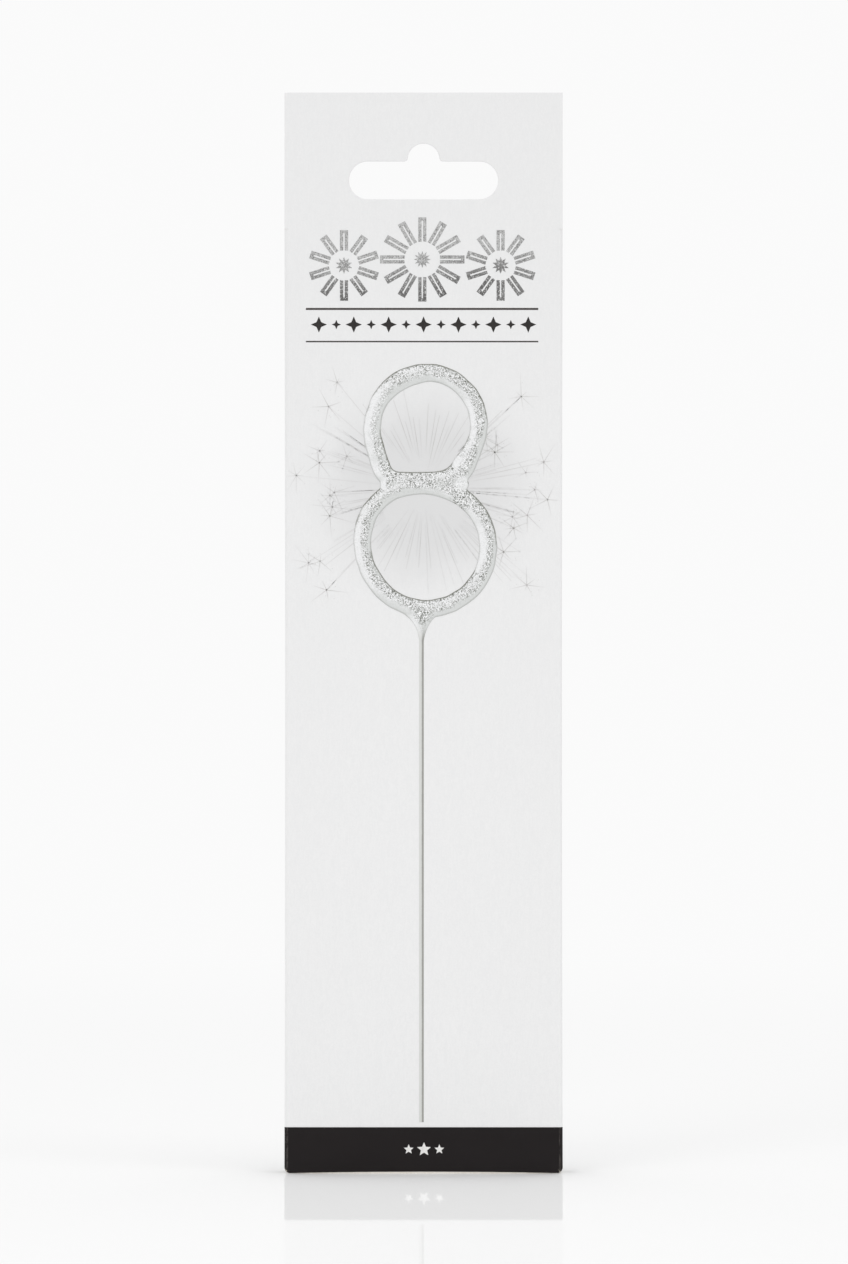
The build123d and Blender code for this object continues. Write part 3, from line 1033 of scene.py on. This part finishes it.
def add_spark(bm, ink, centre, chance):
    """A spark: a dark core, fine spokes that thin out, and a few dots round it."""
    spokes = chance.choice((5, 6, 7, 8))
    start = chance.uniform(0, pi)
    strength = chance.uniform(0.3, 0.65)
    size = chance.uniform(0.7, 1.3)
    for spoke in range(spokes):
        angle = start + 2 * pi * (spoke + chance.uniform(-0.2, 0.2)) / spokes
        tip = centre + heading_at(angle) * chance.uniform(1.2, 5.2) * size
        tip.x = min(max(tip.x, -CREASE_START), CREASE_START)
        lay_ray(bm, ink, centre, tip, strength, 0.05, rise=0)
    core = Vector((0.18, 0))
    lay_ray(bm, ink, centre - core, centre + core, strength, 1, rise=0, width=0.34)
    for _ in range(chance.randint(2, 6)):
        dot = centre + heading_at(chance.uniform(0, 2 * pi)) * chance.uniform(1.2, 3.6)
        dot.x = min(max(dot.x, -CREASE_START), CREASE_START - 2 * core.x)
        lay_ray(bm, ink, dot, dot + core, 0.6 * strength, 1, rise=0, width=0.17)


def make_rules(rule_ink):
    """Two thin rules across the front."""
    bm = bmesh.new()
    left, right = RULE_ENDS
    for height, thickness in RULES:
        lay_bar(bm, (left, height), (right, height), thickness, 24)
    finish_print("rules", bm, rule_ink)


def make_star_row(black_ink):
    """A row of small black stars between the rules."""
    bm = bmesh.new()
    for place in range(-6, 7):
        lay_star(bm, place * STAR_PITCH, STAR_ROW_Z, 4, SMALL_STAR if place % 2 else LARGE_STAR, 0.42)
    finish_print("star_row", bm, black_ink)


def make_band_stars(white_ink):
    """Three small white stars on the black band."""
    bm = bmesh.new()
    for x, radius in BAND_STARS:
        lay_star(bm, x, BAND_STAR_Z, 5, radius, 0.45, 0.05)
    finish_print("band_stars", bm, white_ink)


def make_foil_bursts(foil):
    """Three silver firework bursts, each of barred strokes with a bare line down the middle."""
    bm = bmesh.new()
    for x, z, radius, strokes in FOIL_BURSTS:
        for stroke in range(strokes):
            angle = pi / 2 + 2 * pi * stroke / strokes
            add_stroke(bm, Vector((x, z)), heading_at(angle), radius)
        lay_star(bm, x, z, strokes, 2.0, 0.55, 0.01)
    finish_print("foil_bursts", bm, foil)


def add_stroke(bm, centre, heading, radius):
    """One barred stroke of a burst: two lines that meet at a square end."""
    across = Vector((-heading.y, heading.x))
    inner, gap, line = 0.42 * radius, 0.17, 0.78
    for side in (-1, 1):
        shift = across * side * (gap + line / 2)
        lay_bar(bm, centre + heading * inner + shift, centre + heading * radius + shift, line, 4)
    cap = across * (gap + line)
    end = centre + heading * (radius - line / 2)
    lay_bar(bm, end - cap, end + cap, line, 2, 0.002)


# Tray


def make_tray(tray_board, raw_board):
    """The tray as one folded sheet: two side walls, the back with its windows, and the foot."""
    bm = bmesh.new()
    windows = [(tab - BOARD - TAB_REACH, tab - BOARD) for tab in TAB_HEIGHTS]
    levels = [TRAY_FOLD, *(height for window in windows for height in window), WALL_TOP, TRAY_TOP]
    heights = [high - low for low, high in zip(levels, levels[1:])]
    rises = [run(z=height, steps=max(1, round(height / 12))) for height in heights]
    edge = draw_line(bm, (-TRAY_HALF_WIDTH, TRAY_FRONT, TRAY_FOLD), *rises)
    rear = TRAY_REAR - TRAY_FOLD
    wall = rear - TRAY_FRONT
    carry(
        bm, edge + bm.verts[:], run(y=wall, steps=4), bend((-TRAY_FLAT, rear, 0), UP, -90, 4),
        run(x=TRAY_FLAT + STEM_X - TAB_HALF_WIDTH, steps=4), run(x=2 * TAB_HALF_WIDTH, steps=2),
        run(x=TRAY_FLAT - STEM_X - TAB_HALF_WIDTH, steps=4), bend((TRAY_FLAT, rear, 0), UP, -90, 4),
        run(y=-wall, steps=4),
    )
    slope_walls(bm)
    for low, high in windows:
        cut_window(bm, low, high)
    corners = [vert for vert in bm.verts if near(vert.co.z, TRAY_TOP) and near(abs(vert.co.x), TRAY_FLAT)]
    round_corners(bm, corners, TRAY_TOP_CORNER, 8)
    fold_foot(bm)
    turn_sheet(bm, lambda place: near(place.y, TRAY_REAR) and place.z > 60, 1)
    stands_for = ["tray_back", "tray_left_wall", "tray_right_wall", "tray_foot"]
    boards = [tray_board, raw_board]
    finish_piece("tray_board", bm, "tray", boards, stands_for, [board_thickness()])


def slope_walls(bm):
    """Cuts the side walls off above the wall's height, and to a slope down to the front."""
    delete_faces(bm, lambda place: place.z > WALL_TOP and abs(place.x) > TRAY_FLAT)
    slope = Vector((0, -WALL_SLOPE_DROP, WALL_SLOPE_RUN)).normalized()
    lowest = (0, TRAY_FRONT, WALL_TOP - WALL_SLOPE_DROP)
    walls = faces_where(bm, lambda place: abs(place.x) > TRAY_FLAT + 0.3)
    parts = {part for face in walls for part in (face, *face.edges, *face.verts)}
    ops.bisect_plane(bm, geom=list(parts), plane_co=lowest, plane_no=slope, clear_outer=True)


def cut_window(bm, low, high):
    """Opens the back between two heights, where a tab is folded forward."""
    left, right = STEM_X - TAB_HALF_WIDTH, STEM_X + TAB_HALF_WIDTH
    delete_faces(bm, lambda place: low < place.z < high and left < place.x < right and place.y > 0)


def fold_foot(bm):
    """Folds the foot forward from the back's lower edge, with a bowed front edge and round corners."""
    flat = TRAY_FLAT + SNAP
    lower = edges_where(bm, lambda place: near(place.z, TRAY_FOLD) and abs(place.x) < flat and place.y > 0)
    rear = TRAY_REAR - TRAY_FOLD
    foot = carry(
        bm, lower + ends_of(lower), bend((0, rear, TRAY_FOLD), ACROSS, -90, 4),
        run(y=FRONT + TRAY_FOOT_SETBACK - rear, steps=3),
    )
    front_edge = only(VERT, foot)
    for vert in front_edge:
        vert.co.y += TRAY_FOOT_BOW * (vert.co.x / TRAY_FLAT) ** 2
    ends = [vert for vert in front_edge if near(abs(vert.co.x), TRAY_FLAT)]
    round_corners(bm, ends, TRAY_FOOT_CORNER, 5)


def round_corners(bm, corners, reach, segments):
    """Rounds corners of a sheet, from a reach away on both edges."""
    shape = {"affect": "VERTICES", "offset_type": "OFFSET", "profile": 0.5, "material": -1}
    ops.bevel(bm, geom=corners, offset=reach, segments=segments, **shape)


# Stage


def make_floor():
    """A wide pale glossy floor."""
    bm = bmesh.new()
    ops.create_grid(bm, x_segments=1, y_segments=1, size=FLOOR_HALF_WIDTH)
    floor = new_object("studio_floor", bm)
    floor.data.materials.append(make_floor_material())


def straight_view(tree):
    """1 where a surface is seen directly, mirrored or through glass, and 0 where it only gives light."""
    path = node(tree, "LightPath").outputs
    direct = add(path["Is Camera Ray"], path["Is Glossy Ray"])
    return maths("ADD", direct, path["Is Transmission Ray"], clamp=True)


def mix_shaders(mask, first, second):
    """The first shader where the mask is 0, the second where it is 1."""
    inputs = {0: mask, 1: first.outputs[0], 2: second.outputs[0]}
    return node(first.id_data, "MixShader", inputs)


def make_floor_material():
    """White acrylic with a weak clear reflection round the pack, and plain white further off."""
    material, tree = new_material("studio_floor")
    tree.nodes.clear()
    matt = node(tree, "BsdfDiffuse", {"Color": (0.94, 0.94, 0.94, 1)})
    gloss = node(tree, "BsdfGlossy", {"Color": (0.95, 0.95, 0.95, 1), "Roughness": 0.03})
    white = node(tree, "Emission", {"Color": BACKDROP, "Strength": 1})
    far = multiply(straight_view(tree), ramp(length_of(place_in_mm(tree)), 250, 800))
    both = mix_shaders(far, mix_shaders(0.19, matt, gloss), white)
    node(tree, "OutputMaterial", {"Surface": both.outputs[0]})
    return material


def add_softbox(name, place, target, side, power):
    """A square soft lamp that looks at a target and isn't mirrored."""
    light = bpy.data.lights.new(name, "AREA")
    light.shape = "RECTANGLE"
    light.size = light.size_y = side
    light.energy = power
    lamp = bpy.data.objects.new(name, light)
    lamp.location = place
    lamp.rotation_euler = (Vector(target) - Vector(place)).to_track_quat("-Z", "Y").to_euler()
    lamp.visible_glossy = False
    bpy.context.scene.collection.objects.link(lamp)


def light_studio():
    """Even white light from all round, with a soft key from the upper left, before a white backdrop."""
    world = bpy.data.worlds.new("studio")
    world.use_nodes = True
    tree = world.node_tree
    tree.nodes.clear()
    light = node(tree, "Background", {"Color": (1, 1, 1, 1), "Strength": 0.8})
    white = node(tree, "Background", {"Color": BACKDROP, "Strength": 1})
    both = mix_shaders(straight_view(tree), light, white)
    node(tree, "OutputWorld", {"Surface": both.outputs[0]})
    bpy.context.scene.world = world
    for softbox in SOFTBOXES:
        add_softbox(*softbox)


def set_camera():
    """Straight on to the front, from far off with a long lens."""
    camera = bpy.data.objects.new("camera", bpy.data.cameras.new("camera"))
    camera.data.sensor_width = SENSOR
    camera.data.lens = LENS
    distance = PICTURE_HEIGHT * LENS / SENSOR
    camera.location = (CAMERA_X, FRONT * MM - distance, CAMERA_Z)
    camera.rotation_euler = (radians(90), 0, 0)
    bpy.context.scene.collection.objects.link(camera)
    bpy.context.scene.camera = camera


# The whole pack

board_fibre = make_board_fibre()
glitter_grain = make_glitter_grain()
shaded_printed_paper = make_shaded_printed_paper(board_fibre)
white_board = make_white_board(board_fibre, shaded_printed_paper)
raw_board = make_raw_board(board_fibre)
tray_board = make_tray_board(board_fibre)
steel_wire = make_steel_wire()
rule_ink = make_plain_ink("dark_rule_ink", board_fibre, (0.045, 0.038, 0.035), (0.075, 0.065, 0.06), 0.5)
black_ink = make_plain_ink("black_star_ink", board_fibre, (0.016, 0.013, 0.012), (0.03, 0.026, 0.025), 0.45)
white_ink = make_plain_ink("white_star_ink", board_fibre, (0.74, 0.73, 0.71), (0.84, 0.835, 0.82), 0.5)

make_sleeve(white_board, raw_board)
make_base_band(make_black_band(board_fibre))
numeral = form_numeral()
make_numeral_print(numeral, make_glitter_print(glitter_grain), make_stem_print(board_fibre))
make_coat(numeral, make_sparkler_coat(glitter_grain))
make_burst(make_ray_ink(shaded_printed_paper))
make_rules(rule_ink)
make_star_row(black_ink)
make_band_stars(white_ink)
make_foil_bursts(make_foil(glitter_grain))
make_tray(tray_board, raw_board)

for material, names in (
    (white_board, ("left_dust_flap", "right_dust_flap")),
    (tray_board, ("upper_wire_tab", "lower_wire_tab")),
    (steel_wire, ("stem_wire", "lower_loop_wire", "upper_loop_wire")),
):
    for name in names:
        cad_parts[name].data.materials.clear()
        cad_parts[name].data.materials.append(material)

make_floor()
light_studio()
set_camera()
bpy.context.scene.view_settings.view_transform = "Standard"
